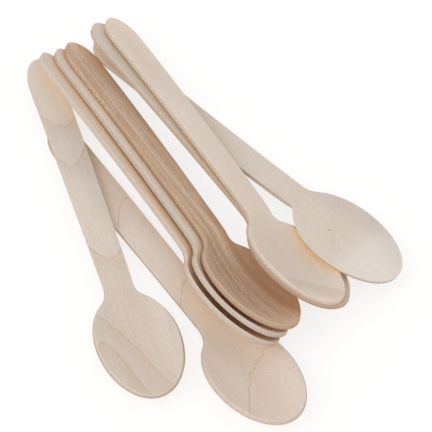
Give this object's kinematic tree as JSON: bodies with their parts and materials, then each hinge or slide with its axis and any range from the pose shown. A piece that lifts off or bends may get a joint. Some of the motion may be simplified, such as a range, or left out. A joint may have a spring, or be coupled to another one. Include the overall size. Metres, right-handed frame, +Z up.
{
  "type": "wooden cutlery pack",
  "caption": "Loose heap of disposable birch veneer spoons with pressed oval bowls and long round-ended handles, overlapping and nested as tipped out of a pack.",
  "frame": {"origin": "middle of the heap's bounding box on the surface that it lies on", "axes": "+Z up from that surface; +Y along the heap's longer side, from the bowls towards the handles' ends; +X across it"},
  "size_m": [0.143, 0.1798, 0.0233],
  "materials": {
    "pale_birch": "bare matt rotary-cut birch veneer, unvarnished, with a soft fuzzy grain and paler die-cut edges",
    "warm_birch": "bare matt birch veneer, slightly pinker, with thin brown growth lines",
    "brown_birch": "bare matt birch veneer from brown heartwood, with straight grain streaks along the spoon"
  },
  "bodies": {
    "root": {"spoon_front": "warm_birch", "spoon_left": "pale_birch", "fan_low": "pale_birch", "fan_middle": "pale_birch", "fan_top": "brown_birch", "spoon_turned": "pale_birch", "pair_low": "pale_birch", "pair_top": "pale_birch"}
  },
  "joints": []
}
